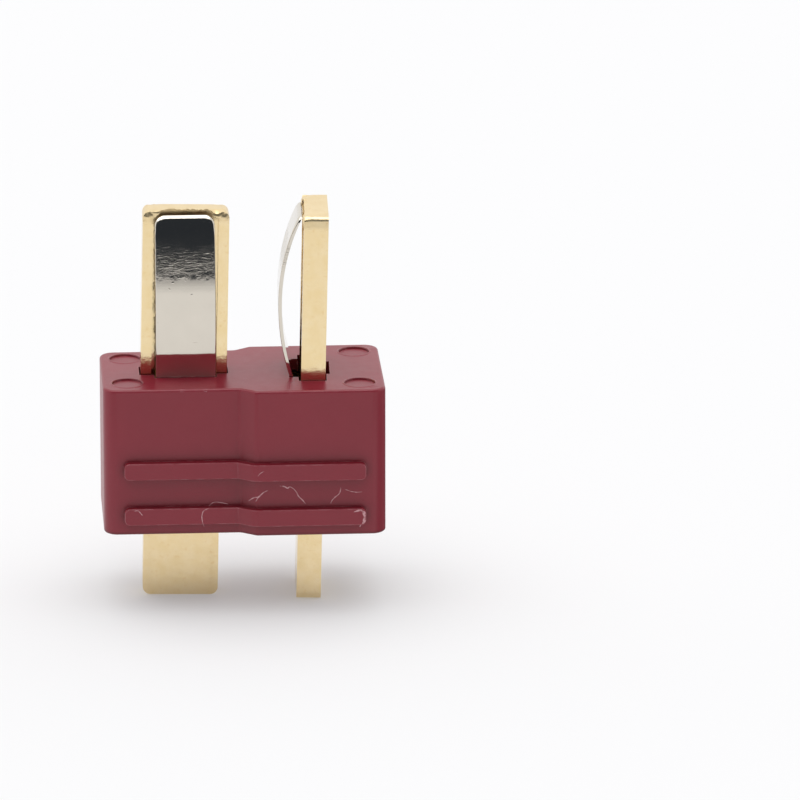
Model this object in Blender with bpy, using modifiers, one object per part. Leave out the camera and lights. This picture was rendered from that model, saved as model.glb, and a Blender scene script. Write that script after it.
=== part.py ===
"""Two-blade battery plug standing on its solder tabs, modelled in metres with +Z up.

A nylon housing carries two identical plated bars. Each bar is a contact blade above the
housing and a solder tab below it, and one bar is turned a quarter turn from the other.
A bowed leaf spring lies in a channel along one face of each blade.
"""
import math

import bmesh
import bpy
from mathutils import Matrix, Vector

MM = 0.001

# Housing, with a narrow left part and a deeper right part
HOUSING_WIDTH = 16.0 * MM
HOUSING_HEIGHT = 8.6 * MM
NARROW_DEPTH = 7.6 * MM
WIDE_DEPTH = 8.9 * MM
STEP_START_X = -0.28 * MM
STEP_RUN = 0.90 * MM
STEP_RADIUS = 0.45 * MM
CORNER_RADIUS = 0.80 * MM
HOUSING_EDGE_RADIUS = 0.16 * MM

# Grip ribs round the front and the back of the housing
RIB_HEIGHT = 0.98 * MM
RIB_LIFT = 0.42 * MM
RIB_END_INSET = 1.15 * MM
RIB_END_RADIUS = 0.30 * MM
RIB_EDGE_RADIUS = 0.12 * MM
LOWER_RIB_Z = 1.18 * MM
RIB_PITCH = 2.68 * MM
RIB_COUNT = 2

# Ejector pin marks in the corners of the top face
MARK_RADIUS = 0.85 * MM
MARK_DEPTH = 0.09 * MM
MARK_INSET_X = 1.42 * MM
MARK_INSET_Y = 1.42 * MM

# Contact bars, measured from the housing's top face along the bar
BAR_THICKNESS = 1.39 * MM
BLADE_WIDTH = 4.90 * MM
BLADE_LENGTH = 9.63 * MM
BLADE_CORNER_RADIUS = 0.42 * MM
TAB_WIDTH = 4.30 * MM
TAB_LENGTH = 4.62 * MM
TAB_CORNER_RADIUS = 0.45 * MM
SHOULDER_DEPTH = 6.0 * MM
SHOULDER_RADIUS = 0.25 * MM
BAR_EDGE_RADIUS = 0.12 * MM
LEFT_BAR_X = -3.32 * MM
RIGHT_BAR_X = 4.04 * MM

# Both bars stand this far off plumb in the moulding, with their tips to the right
BAR_LEAN = math.radians(1.3)

# The right bar also sits this far off square, with its back edge to the right
RIGHT_BAR_SKEW = math.radians(2.8)

# Channel for the leaf spring, which leaves a very thin lip at the tip, between two staked corners
CHANNEL_WIDTH = 3.70 * MM
CHANNEL_DEPTH = 0.45 * MM
CHANNEL_RUNOUT = 0.75 * MM
CHANNEL_GUSSET = 0.42 * MM
LIP_HEIGHT = 0.06 * MM
STAKE_LENGTH = 0.62 * MM
STAKE_DEPTH = 0.30 * MM
STAKE_SPAN = 0.62 * MM

# Leaf springs, bowed out from the face of the blade
LEAF_WIDTH = 3.40 * MM
LEAF_THICKNESS = 0.20 * MM
LEAF_BOW = 1.35 * MM
LEAF_CROWN_Z = 4.40 * MM
LEAF_LOWER_RADIUS = 12.2 * MM
LEAF_TIP_LIFT = 0.15 * MM
LEAF_TIP_GAP = 0.11 * MM
LEAF_FOOT_GAP = 0.06 * MM
LEAF_CORNER_RADIUS = 0.38 * MM
LEAF_SPACING = 0.25 * MM

# Clearances
FIT_GAP = 0.08 * MM
POCKET_GAP = 0.10 * MM
POCKET_RUNOUT = 0.45 * MM

# The slot's wider mouth round the leaf side of a blade, and the relief notch behind the blade
MOUTH_FRONT_GAP = 0.28 * MM
MOUTH_SIDE_GAP = 0.15 * MM
MOUTH_REACH = 0.95 * MM
MOUTH_DEPTH = 1.20 * MM
NOTCH_WIDTH = 2.42 * MM
NOTCH_LIFT = 0.28 * MM
NOTCH_DEPTH = 1.50 * MM

# How far a cutter runs past what it cuts
OVERRUN = 1.0 * MM

ARC_STEP = math.radians(9)
BEVEL_SEGMENTS = 3
BEVEL_ANGLE = math.radians(40)
SMOOTH_ANGLE = math.radians(35)
FLAT_ANGLE = math.radians(0.5)
WELD = 0.001 * MM

# Turns that lay a flat outline in the plane that it is drawn for
PLANES = {
    "XY": Matrix.Identity(4),
    "XZ": Matrix.Rotation(math.pi / 2, 4, "X"),
    "YZ": Matrix.Rotation(math.pi / 2, 4, "Z") @ Matrix.Rotation(math.pi / 2, 4, "X"),
}


def clear_scene():
    for old in list(bpy.data.objects):
        bpy.data.objects.remove(old, do_unlink=True)


def new_collection(name):
    collection = bpy.data.collections.new(name)
    bpy.context.scene.collection.children.link(collection)
    return collection


def new_material(name, colour, roughness, metallic):
    material = bpy.data.materials.new(name)
    material.use_nodes = True
    shader = material.node_tree.nodes["Principled BSDF"]
    shader.inputs["Base Color"].default_value = (*colour, 1.0)
    shader.inputs["Roughness"].default_value = roughness
    shader.inputs["Metallic"].default_value = metallic
    return material


def rounded(corners):
    """The points of a closed outline whose corners are (x, y, radius), with arcs at the corners."""
    points = []
    for i, (x, y, radius) in enumerate(corners):
        corner = Vector((x, y))
        before = (Vector(corners[i - 1][:2]) - corner).normalized()
        after = (Vector(corners[(i + 1) % len(corners)][:2]) - corner).normalized()
        turn = math.pi - before.angle(after)
        if radius < WELD or turn < FLAT_ANGLE:
            points.append(corner)
            continue
        centre = corner + (before + after).normalized() * radius / math.cos(turn / 2)
        start = corner + before * radius * math.tan(turn / 2) - centre
        side = 1 if before.cross(after) < 0 else -1
        steps = max(2, round(turn / ARC_STEP))
        for n in range(steps + 1):
            angle = side * turn * n / steps
            spoke = Matrix.Rotation(angle, 2) @ start
            points.append(centre + spoke)
    return points


def prism(name, outline, low, high, plane="XY"):
    """A solid of a flat outline, from low to high across its plane."""
    half = (high - low) / 2
    curve = bpy.data.curves.new(name, "CURVE")
    curve.dimensions = "2D"
    curve.fill_mode = "BOTH"
    curve.extrude = half
    spline = curve.splines.new("POLY")
    spline.points.add(len(outline) - 1)
    for point, place in zip(spline.points, outline):
        point.co = (place[0], place[1], 0.0, 1.0)
    spline.use_cyclic_u = True
    drawn = bpy.data.objects.new(name, curve)
    bpy.context.scene.collection.objects.link(drawn)
    graph = bpy.context.evaluated_depsgraph_get()
    mesh = bpy.data.meshes.new_from_object(drawn.evaluated_get(graph))
    bpy.data.objects.remove(drawn, do_unlink=True)
    bpy.data.curves.remove(curve)
    weld_caps(mesh, half)
    mesh.transform(PLANES[plane] @ Matrix.Translation((0, 0, low + half)))
    mesh.name = name
    return mesh


def weld_caps(mesh, half):
    """Welds the caps of a drawn outline to its sides and makes each cap one face."""
    shape = bmesh.new()
    shape.from_mesh(mesh)
    bmesh.ops.remove_doubles(shape, verts=shape.verts, dist=WELD)
    for level in (-half, half):
        cap = [
            face
            for face in shape.faces
            if all(abs(vert.co.z - level) < WELD for vert in face.verts)
        ]
        bmesh.ops.dissolve_faces(shape, faces=cap)
    bmesh.ops.recalc_face_normals(shape, faces=shape.faces)
    shape.to_mesh(mesh)
    shape.free()


def box_outline(width, low, high, radius=0.0):
    """A rectangle centred on the upright axis, with corners of one radius."""
    half = width / 2
    sides = [(-half, low), (half, low), (half, high), (-half, high)]
    return rounded([(x, y, radius) for x, y in sides])


def add_object(name, mesh, collection, parent=None, material=None):
    item = bpy.data.objects.new(name, mesh)
    collection.objects.link(item)
    item.parent = parent
    if material:
        mesh.materials.clear()
        mesh.materials.append(material)
    return item


def add_cutter(name, mesh, collection, parent=None):
    cutter = add_object(name, mesh, collection, parent)
    cutter.hide_render = True
    cutter.display_type = "WIRE"
    return cutter


def boolean(target, tool, operation):
    step = target.modifiers.new(tool.name, "BOOLEAN")
    step.operation = operation
    step.solver = "EXACT"
    step.object = tool


def bevel(target, width):
    step = target.modifiers.new("rounded_edges", "BEVEL")
    step.width = width
    step.segments = BEVEL_SEGMENTS
    step.limit_method = "ANGLE"
    step.angle_limit = BEVEL_ANGLE


def smooth(item):
    item.data.shade_smooth()
    item.data.set_sharp_from_angle(angle=SMOOTH_ANGLE)


def housing_outline(lift=0.0):
    """The housing seen from above, moved out by lift, with a ramp from each narrow side to each wide one."""
    half = HOUSING_WIDTH / 2 + lift
    narrow = NARROW_DEPTH / 2 + lift
    wide = WIDE_DEPTH / 2 + lift
    slope = math.atan2(wide - narrow, STEP_RUN)
    start = STEP_START_X - lift * math.tan(slope / 2)
    end = start + STEP_RUN
    corner = CORNER_RADIUS + lift
    hollow = max(STEP_RADIUS - lift, 0.0)
    crest = STEP_RADIUS + lift
    front = [
        (-half, -narrow, corner),
        (start, -narrow, hollow),
        (end, -wide, crest),
        (half, -wide, corner),
    ]
    back = [(x, -y, radius) for x, y, radius in reversed(front)]
    return rounded(front + back)


def rib_levels():
    return [LOWER_RIB_Z + n * RIB_PITCH for n in range(RIB_COUNT)]


def add_ribs(housing, cutters, base):
    """Joins each pair of ribs on as one band through the housing, round-ended and following its step."""
    deepest = WIDE_DEPTH / 2 + RIB_LIFT + OVERRUN
    length = HOUSING_WIDTH - 2 * RIB_END_INSET
    for n, level in enumerate(rib_levels()):
        low = base + level - RIB_HEIGHT / 2
        high = low + RIB_HEIGHT
        outline = housing_outline(RIB_LIFT)
        band = add_cutter(f"rib_band_{n}", prism("rib_band", outline, low, high), cutters)
        ends = box_outline(length, low, high, RIB_END_RADIUS)
        shape = prism("rib_ends", ends, -deepest, deepest, "XZ")
        boolean(band, add_cutter(f"rib_ends_{n}", shape, cutters), "INTERSECT")
        bevel(band, RIB_EDGE_RADIUS)
        boolean(housing, band, "UNION")


def add_marks(housing, cutters, top):
    """Cuts the four shallow ejector pin marks, each as far in from the two sides that meet there."""
    for side in (-1, 1):
        depth = WIDE_DEPTH if side > 0 else NARROW_DEPTH
        for face in (-1, 1):
            x = side * (HOUSING_WIDTH / 2 - MARK_INSET_X)
            y = face * (depth / 2 - MARK_INSET_Y)
            shape = bmesh.new()
            bmesh.ops.create_cone(
                shape,
                cap_ends=True,
                segments=32,
                radius1=MARK_RADIUS,
                radius2=MARK_RADIUS,
                depth=2 * MARK_DEPTH,
                matrix=Matrix.Translation((x, y, top)),
            )
            mesh = bpy.data.meshes.new("pin_mark")
            shape.to_mesh(mesh)
            shape.free()
            name = f"pin_mark_{'right' if side > 0 else 'left'}_{'back' if face > 0 else 'front'}"
            boolean(housing, add_cutter(name, mesh, cutters), "DIFFERENCE")


def leaf_tip_z():
    return BLADE_LENGTH - LIP_HEIGHT - LEAF_TIP_GAP


def leaf_upper_radius():
    """The radius of the arc that brings the leaf from its crown in to its tip."""
    rise = leaf_tip_z() - LEAF_CROWN_Z
    drop = LEAF_BOW - LEAF_TIP_LIFT
    return (rise**2 + drop**2) / (2 * drop)


def leaf_offset(z):
    """How far the leaf's outer face stands out from the face of the blade at height z."""
    radius = leaf_upper_radius() if z > LEAF_CROWN_Z else LEAF_LOWER_RADIUS
    rise = z - LEAF_CROWN_Z
    return LEAF_BOW - (radius - math.sqrt(radius**2 - rise**2))


def leaf_foot_z():
    """The height at which the leaf's inner face comes down to the floor of its channel."""
    inner_radius = LEAF_LOWER_RADIUS - LEAF_THICKNESS
    floor_reach = LEAF_LOWER_RADIUS - LEAF_BOW - CHANNEL_DEPTH + LEAF_FOOT_GAP
    return LEAF_CROWN_Z - math.sqrt(inner_radius**2 - floor_reach**2)


def slot_outline():
    """The stepped slot for a bar, wide for the blade and narrow below the shoulders."""
    half_blade = BLADE_WIDTH / 2 + FIT_GAP
    half_tab = TAB_WIDTH / 2 + FIT_GAP
    ledge = -(SHOULDER_DEPTH + FIT_GAP)
    right = [
        (half_tab, -(HOUSING_HEIGHT + OVERRUN)),
        (half_tab, ledge),
        (half_blade, ledge),
        (half_blade, OVERRUN),
    ]
    return right + [(-x, z) for x, z in reversed(right)]


def cut_slot(housing, cutters, station, side):
    """Cuts the slot that one bar is pressed into, with the leaf's pocket and the relief notch."""
    face = BAR_THICKNESS / 2
    pocket_out = face + leaf_offset(0.0) + POCKET_GAP
    pocket_low = leaf_foot_z() - POCKET_RUNOUT
    pocket = box_outline(LEAF_WIDTH + 2 * POCKET_GAP, pocket_low, OVERRUN)
    mouth = box_outline(BLADE_WIDTH + 2 * MOUTH_SIDE_GAP, -MOUTH_DEPTH, OVERRUN)
    notch = box_outline(NOTCH_WIDTH, -NOTCH_DEPTH, OVERRUN)
    cuts = {
        "bar_slot": (slot_outline(), -face - FIT_GAP, face + FIT_GAP),
        "leaf_pocket": (pocket, -pocket_out, 0.0),
        "slot_mouth": (mouth, -face - MOUTH_FRONT_GAP, -face + MOUTH_REACH),
        "relief_notch": (notch, 0.0, face + NOTCH_LIFT),
    }
    for name, (outline, front, back) in cuts.items():
        shape = prism(name, outline, -back, -front, "XZ")
        boolean(housing, add_cutter(f"{side}_{name}", shape, cutters, station), "DIFFERENCE")


def bar_outline():
    """A contact bar seen on its wide face: blade, shoulders and solder tab."""
    bottom = -(HOUSING_HEIGHT + TAB_LENGTH)
    half_blade = BLADE_WIDTH / 2
    half_tab = TAB_WIDTH / 2
    right = [
        (half_tab, bottom, TAB_CORNER_RADIUS),
        (half_tab, -SHOULDER_DEPTH, SHOULDER_RADIUS),
        (half_blade, -SHOULDER_DEPTH, SHOULDER_RADIUS),
        (half_blade, BLADE_LENGTH, BLADE_CORNER_RADIUS),
    ]
    left = [(-x, z, radius) for x, z, radius in reversed(right)]
    return rounded(right + left)


def channel_outline():
    """The leaf's channel, with its top corners cut across."""
    half = CHANNEL_WIDTH / 2
    foot = leaf_foot_z() - CHANNEL_RUNOUT
    top = BLADE_LENGTH - LIP_HEIGHT
    return [
        (-half, foot),
        (half, foot),
        (half, top - CHANNEL_GUSSET),
        (half - CHANNEL_GUSSET, top),
        (-half + CHANNEL_GUSSET, top),
        (-half, top - CHANNEL_GUSSET),
    ]


def stake_outline():
    """The wedge that a punch takes off a corner of the tip, seen along the blade's width."""
    face = -BAR_THICKNESS / 2
    slope = STAKE_DEPTH / STAKE_LENGTH
    return [
        (face - OVERRUN * slope, BLADE_LENGTH - STAKE_LENGTH - OVERRUN),
        (face + STAKE_DEPTH + OVERRUN * slope, BLADE_LENGTH + OVERRUN),
        (face - OVERRUN * slope, BLADE_LENGTH + OVERRUN),
    ]


def build_bar(side, station, parts, cutters, material):
    """One contact bar: a flat bar with a milled channel and a staked tip."""
    half = BAR_THICKNESS / 2
    mesh = prism(f"{side}_contact", bar_outline(), -half, half, "XZ")
    bar = add_object(f"{side}_contact", mesh, parts, station, material)
    bevel(bar, BAR_EDGE_RADIUS)
    floor = -half + CHANNEL_DEPTH
    shape = prism("channel", channel_outline(), -floor, half + OVERRUN, "XZ")
    boolean(bar, add_cutter(f"{side}_channel", shape, cutters, station), "DIFFERENCE")
    for end in (-1, 1):
        inner = BLADE_WIDTH / 2 - STAKE_SPAN
        outer = BLADE_WIDTH / 2 + OVERRUN
        low, high = sorted((end * inner, end * outer))
        shape = prism("stake", stake_outline(), low, high, "YZ")
        name = f"{side}_stake_{'right' if end > 0 else 'left'}"
        boolean(bar, add_cutter(name, shape, cutters, station), "DIFFERENCE")
    smooth(bar)
    return bar


def leaf_strip():
    """The open strip of the leaf's outer face, from its foot up over the crown to its tip."""
    low, high = leaf_foot_z(), leaf_tip_z()
    steps = round((high - low) / LEAF_SPACING)
    levels = [low + (high - low) * n / steps for n in range(steps + 1)]
    face = -BAR_THICKNESS / 2
    shape = bmesh.new()
    path = [
        shape.verts.new((-LEAF_WIDTH / 2, face - leaf_offset(z), z)) for z in levels
    ]
    edges = [shape.edges.new(pair) for pair in zip(path, path[1:])]
    swept = bmesh.ops.extrude_edge_only(shape, edges=edges)["geom"]
    moved = [item for item in swept if isinstance(item, bmesh.types.BMVert)]
    bmesh.ops.translate(shape, verts=moved, vec=(LEAF_WIDTH, 0, 0))
    for strip in shape.faces:
        strip.normal_update()
        if strip.normal.y > 0:
            strip.normal_flip()
    mesh = bpy.data.meshes.new("leaf_strip")
    shape.to_mesh(mesh)
    shape.free()
    return mesh


def build_leaf(side, station, parts, cutters, material):
    """One leaf spring: a bowed strip with round corners, its origin at the crown, where it is pressed."""
    crown = Vector((0, -BAR_THICKNESS / 2 - LEAF_BOW, LEAF_CROWN_Z))
    mesh = leaf_strip()
    mesh.transform(Matrix.Translation(-crown))
    leaf = add_object(f"{side}_leaf_spring", mesh, parts, station, material)
    leaf.location = crown
    shell = leaf.modifiers.new("sheet", "SOLIDIFY")
    shell.thickness = LEAF_THICKNESS
    shell.offset = -1.0
    blank = box_outline(LEAF_WIDTH + WELD, leaf_foot_z(), leaf_tip_z(), LEAF_CORNER_RADIUS)
    reach = LEAF_BOW + BAR_THICKNESS + OVERRUN
    shape = prism("leaf_blank", blank, -reach, reach, "XZ")
    boolean(leaf, add_cutter(f"{side}_leaf_blank", shape, cutters, station), "INTERSECT")
    smooth(leaf)
    return leaf


def stand_height():
    """The height of the housing's top face when the tabs' lowest corners touch the ground."""
    length = HOUSING_HEIGHT + TAB_LENGTH
    corners = (
        (TAB_WIDTH / 2, TAB_CORNER_RADIUS),
        (BAR_THICKNESS / 2, BAR_EDGE_RADIUS),
    )
    return max(
        (length - radius) * math.cos(BAR_LEAN)
        + (half - radius) * math.sin(BAR_LEAN)
        + radius
        for half, radius in corners
    )


def add_station(name, x, turn, top, parts):
    """An empty where a bar passes the housing's top face, leaning and turned as the bar is."""
    station = bpy.data.objects.new(name, None)
    parts.objects.link(station)
    station.empty_display_size = 2 * MM
    station.rotation_mode = "ZYX"
    station.location = (x, 0, top)
    station.rotation_euler = (0, BAR_LEAN, turn)
    return station


def build_housing(parts, cutters, stations, top, material):
    """The moulded housing: stepped body, grip ribs, pin marks and the two stepped slots."""
    base = top - HOUSING_HEIGHT
    mesh = prism("housing", housing_outline(), base, top)
    housing = add_object("housing", mesh, parts, None, material)
    bevel(housing, HOUSING_EDGE_RADIUS)
    add_ribs(housing, cutters, base)
    add_marks(housing, cutters, top)
    for side, station in stations.items():
        cut_slot(housing, cutters, station, side)
    smooth(housing)
    return housing


def main():
    clear_scene()
    parts = new_collection("two_blade_battery_plug")
    cutters = new_collection("cutters")
    nylon = new_material("red_nylon", (0.216, 0.034, 0.051), 0.42, 0.0)
    gold = new_material("gold_plated_brass", (0.83, 0.68, 0.36), 0.27, 1.0)
    nickel = new_material("nickel_plated_spring_steel", (0.78, 0.76, 0.72), 0.12, 1.0)
    top = stand_height()
    quarter = -math.pi / 2
    stations = {
        "left": add_station("left_station", LEFT_BAR_X, 0.0, top, parts),
        "right": add_station("right_station", RIGHT_BAR_X, quarter - RIGHT_BAR_SKEW, top, parts),
    }
    bpy.context.view_layer.update()
    build_housing(parts, cutters, stations, top, nylon)
    for side, station in stations.items():
        build_bar(side, station, parts, cutters, gold)
        build_leaf(side, station, parts, cutters, nickel)


main()
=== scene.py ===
"""Dresses a two-blade battery plug for a photo-like picture and sets up its studio.

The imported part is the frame. The housing, the two contact bars and the two leaf springs are
rebuilt over it with fine edges and wear, and each is given a procedural finish.
"""
import math
import bmesh
import bpy
from bpy.props import FloatProperty, FloatVectorProperty, PointerProperty
from mathutils import Matrix, Vector, noise
from mathutils.bvhtree import BVHTree


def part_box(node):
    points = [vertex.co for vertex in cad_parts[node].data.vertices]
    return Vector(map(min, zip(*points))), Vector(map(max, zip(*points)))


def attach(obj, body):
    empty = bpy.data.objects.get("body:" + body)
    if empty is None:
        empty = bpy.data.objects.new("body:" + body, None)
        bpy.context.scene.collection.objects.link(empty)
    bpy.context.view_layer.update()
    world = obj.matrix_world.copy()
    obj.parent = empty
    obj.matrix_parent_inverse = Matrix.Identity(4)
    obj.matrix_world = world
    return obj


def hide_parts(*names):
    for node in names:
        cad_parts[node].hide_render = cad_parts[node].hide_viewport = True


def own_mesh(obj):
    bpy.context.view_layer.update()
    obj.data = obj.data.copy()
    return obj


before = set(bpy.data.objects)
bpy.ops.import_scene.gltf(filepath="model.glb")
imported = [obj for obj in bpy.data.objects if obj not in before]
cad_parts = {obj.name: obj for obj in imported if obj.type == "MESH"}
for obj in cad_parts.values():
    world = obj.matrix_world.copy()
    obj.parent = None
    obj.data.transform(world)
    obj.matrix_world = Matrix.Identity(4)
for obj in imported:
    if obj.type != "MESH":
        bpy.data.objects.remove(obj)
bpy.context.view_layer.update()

bl_info = {
    "name": "Two-blade battery plug",
    "version": (1, 0, 0),
    "blender": (4, 5, 0),
    "location": "3D View > Sidebar > Battery Plug",
    "description": "Builds a moulded battery plug with gold-plated blades and leaf springs",
    "category": "Object",
}

MM = 0.001
BASE, TOP = (corner.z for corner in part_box("housing"))

# How far a cutting solid runs past what it cuts
OVERRUN = 1.0 * MM
# A length below this counts as nothing
WELD = 0.001 * MM
# From one point of an arc to the next
ARC_STEP = math.radians(4)
# A turn below this, in radians, counts as straight
STRAIGHT = 0.01
# Edges that turn by more are shaded sharp
SHARP_ANGLE = math.radians(38)
# Edges that turn by more are rounded
BEVEL_ANGLE = math.radians(40)

# Where a bar steps from blade width to tab width, below the housing's top
SHOULDER = 6.0 * MM
SHOULDER_RADIUS = 0.25 * MM
# How high over the studio's floor the sheets on it lie
SHEET_HEIGHT = 0.3 * MM

# Turns that lay a flat outline in the plane that it is drawn for
PLANES = {
    "XY": Matrix.Identity(4),
    "XZ": Matrix.Rotation(math.pi / 2, 4, "X"),
}

# Scuffs on the front, as points across and up the housing in millimetres, with a width
SCUFFS = [
    (0.050, [(-2.34, 5.08), (-2.45, 5.57), (-2.47, 5.87), (-2.37, 6.16), (-2.07, 6.31)]),
    (0.040, [(-2.07, 6.31), (-1.79, 6.52), (-1.40, 6.51), (-0.95, 6.41)]),
    (0.055, [(0.18, 6.68), (0.49, 6.94), (0.71, 7.00), (1.05, 7.28), (1.27, 7.37)]),
    (0.040, [(0.58, 6.73), (0.71, 6.94), (0.89, 7.10)]),
    (0.055, [(1.95, 7.64), (2.23, 7.59), (2.40, 7.49), (2.51, 7.58), (2.73, 7.46)]),
    (0.050, [(2.73, 7.46), (2.90, 7.25), (3.01, 7.01), (3.24, 6.77), (3.41, 6.55)]),
    (0.045, [(5.43, 7.49), (5.34, 7.14), (5.09, 6.91), (4.89, 6.68), (4.84, 6.50)]),
    (0.035, [(5.65, 7.37), (5.99, 7.24), (6.33, 7.18), (6.64, 7.20)]),
    (0.130, [(6.13, 6.14), (6.53, 6.23), (6.73, 6.01), (6.75, 5.71), (6.64, 5.42), (6.49, 5.11)]),
    (0.060, [(-6.29, 6.22), (-6.08, 6.23), (-5.85, 5.96)]),
    (0.030, [(0.70, 8.37), (0.83, 8.54), (1.04, 8.65)]),
    (0.140, [(-3.64, 13.19), (-3.52, 13.20), (-3.40, 13.19)]),
    (0.140, [(-2.32, 13.19), (-2.20, 13.20), (-2.12, 13.13)]),
]

# Where staking moved the metal at each end of a blade's tip: in from the side, down from the tip,
# spread each way and height, in millimetres
STAKES = {
    -1: [
        (0.40, 0.36, 0.19, 0.22, 0.09),
        (0.80, 0.12, 0.14, 0.10, 0.05),
        (0.12, 0.10, 0.12, 0.14, -0.04),
    ],
    1: [
        (0.66, 0.22, 0.17, 0.14, 0.09),
        (0.30, 0.42, 0.15, 0.18, 0.07),
        (0.12, 0.10, 0.11, 0.14, -0.04),
    ],
}

# The burr round a pin mark, in millimetres: out from the mark's radius and up from the top
BURR = [(0.16, -0.10), (0.16, -0.005), (0.13, 0.008), (0.10, 0.020), (0.07, 0.025)]


def linear(text):
    """The linear colour of an sRGB hex value."""
    parts = [int(text[i : i + 2], 16) / 255 for i in (1, 3, 5)]
    return tuple(p / 12.92 if p <= 0.04045 else ((p + 0.055) / 1.055) ** 2.4 for p in parts)


def length(name, default, description):
    """A length a user may change, in metres, with its default given in millimetres."""
    return FloatProperty(
        name=name,
        description=description,
        default=default * MM,
        min=0.0,
        unit="LENGTH",
        precision=5,
    )


def number(name, default, description, most):
    """A plain number a user may change."""
    return FloatProperty(name=name, description=description, default=default, min=0, max=most)


def angle(name, default, description):
    """An angle a user may change, with its default given in degrees."""
    return FloatProperty(
        name=name, description=description, default=math.radians(default), subtype="ANGLE"
    )


def colour(name, default, description):
    """A colour a user may change, with its default given as an sRGB hex value."""
    return FloatVectorProperty(
        name=name, description=description, default=linear(default), subtype="COLOR", min=0, max=1
    )


class HousingSettings(bpy.types.PropertyGroup):
    """Sizes and colours of the moulded housing."""

    width: length("Width", 16.0, "Housing from end to end")
    narrow_depth: length("Narrow depth", 7.6, "Front to back on the left, narrower part")
    wide_depth: length("Wide depth", 8.9, "Front to back on the right, wider part")
    step_left: length("Step place", 0.28, "How far left of the middle the step begins")
    step_run: length("Step run", 0.90, "Length of the ramp between the two depths")
    step_radius: length("Step radius", 0.45, "Rounding at both ends of the ramp")
    corner_radius: length("Corner radius", 0.80, "Rounding of the upright corners")
    edge_radius: length("Edge radius", 0.16, "Rounding round the top and the bottom")
    rib_height: length("Rib height", 0.98, "Each grip rib from its lower edge to its upper one")
    rib_lift: length("Rib lift", 0.415, "How far a grip rib stands out")
    rib_inset: length("Rib inset", 1.15, "From the housing's end to the rib's end")
    rib_end_radius: length("Rib end radius", 0.30, "Rounding of a rib's corners from the front")
    rib_edge_radius: length("Rib edge radius", 0.12, "Rounding of a rib's edges")
    lower_rib: length("Lower rib", 1.18, "Height of the lower rib's middle above the base")
    rib_pitch: length("Rib pitch", 2.68, "From the lower rib's middle to the upper one's")
    mark_radius: length("Pin mark radius", 0.85, "Radius of an ejector pin mark")
    mark_depth: length("Pin mark depth", 0.09, "Depth of an ejector pin mark")
    mark_inset: length("Pin mark inset", 1.42, "From the two nearest sides to the mark's middle")
    body_colour: colour("Nylon", "#871E2F", "Colour of the moulded nylon")
    scuff_colour: colour("Scuffs", "#CF9DA2", "Colour of the scuffs on the front")


class ContactSettings(bpy.types.PropertyGroup):
    """Sizes and colour of the two contact bars."""

    thickness: length("Thickness", 1.39, "Thickness of the bar")
    blade_width: length("Blade width", 4.90, "Width of the blade above the housing")
    blade_length: length("Blade length", 9.63, "Blade from the housing's top to its tip")
    blade_radius: length("Blade corner radius", 0.42, "Rounding of the left tip's corners")
    right_radius: length("Right corner radius", 0.26, "Rounding of the right tip's corners")
    tab_width: length("Tab width", 4.30, "Width of the solder tab")
    tab_length: length("Tab length", 4.62, "Tab from the housing's base to its end")
    tab_radius: length("Tab corner radius", 0.45, "Rounding of the tab's corners")
    edge_radius: length("Edge radius", 0.12, "Rounding of the bar's long edges")
    channel_width: length("Channel width", 3.70, "Width of the spring's channel")
    channel_depth: length("Channel depth", 0.45, "Depth of the spring's channel")
    lip_height: length("Lip height", 0.06, "Thickness of the ragged lip over the channel")
    gusset: length("Gusset", 0.42, "Size of the corners left at the channel's top")
    tip_radius: length("Tip radius", 0.15, "Rounding of the tip's edges, rolled over by the press")
    lip_bite: length("Lip bite", 0.36, "How far back the ragged front of the lip goes")
    left_x: length("Left bar", 3.32, "From the housing's middle to the left bar")
    right_x: length("Right bar", 4.04, "From the housing's middle to the right bar")
    lean: angle("Lean", 1.3, "How far both bars stand off plumb, tips to the right")
    skew: angle("Skew", 1.7, "How far the right bar is turned off square")
    gold: colour("Gold", "#F0DBB0", "Colour of the gold plating")


class SpringSettings(bpy.types.PropertyGroup):
    """Sizes and colour of the two leaf springs."""

    width: length("Width", 3.40, "Width of the strip")
    thickness: length("Thickness", 0.20, "Thickness of the strip")
    bow: length("Bow", 1.35, "How far the crown stands out from the blade")
    crown: length("Crown height", 4.40, "Height of the crown above the housing's top")
    lower_radius: length("Lower radius", 12.2, "Bend from the crown down to the foot")
    tip_lift: length("Tip lift", 0.15, "How far the tip stands out from the blade")
    tip_gap: length("Tip gap", 0.11, "From the tip to the lip of the channel")
    foot_gap: length("Foot gap", 0.06, "From the foot to the floor of the channel")
    corner_radius: length("Corner radius", 0.55, "Rounding of the left strip's corners")
    right_corner: length("Right corner radius", 0.34, "Rounding of the right strip's corners")
    end_roll: length("End roll", 0.27, "How far in from its ends the strip is rolled over")
    side_roll: length("Side roll", 0.05, "How far in from its sides the strip is rolled over")
    roll_depth: length("Roll depth", 0.17, "How far back the rolled end goes")
    side_depth: length("Side roll depth", 0.05, "How far back the rolled side goes")
    left_skew: angle("Left skew", 1.2, "How far the left strip is turned in its channel")
    left_push: length("Left push", 0.20, "How far the left strip is pushed out where it enters")
    right_push: length("Right push", 0.12, "How far the right strip is pushed out where it enters")
    right_lift: length("Right lift", 0.11, "How much further the right strip's tip stands out")
    nickel: colour("Nickel", "#DBD4C8", "Colour of the nickel plating")


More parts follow.
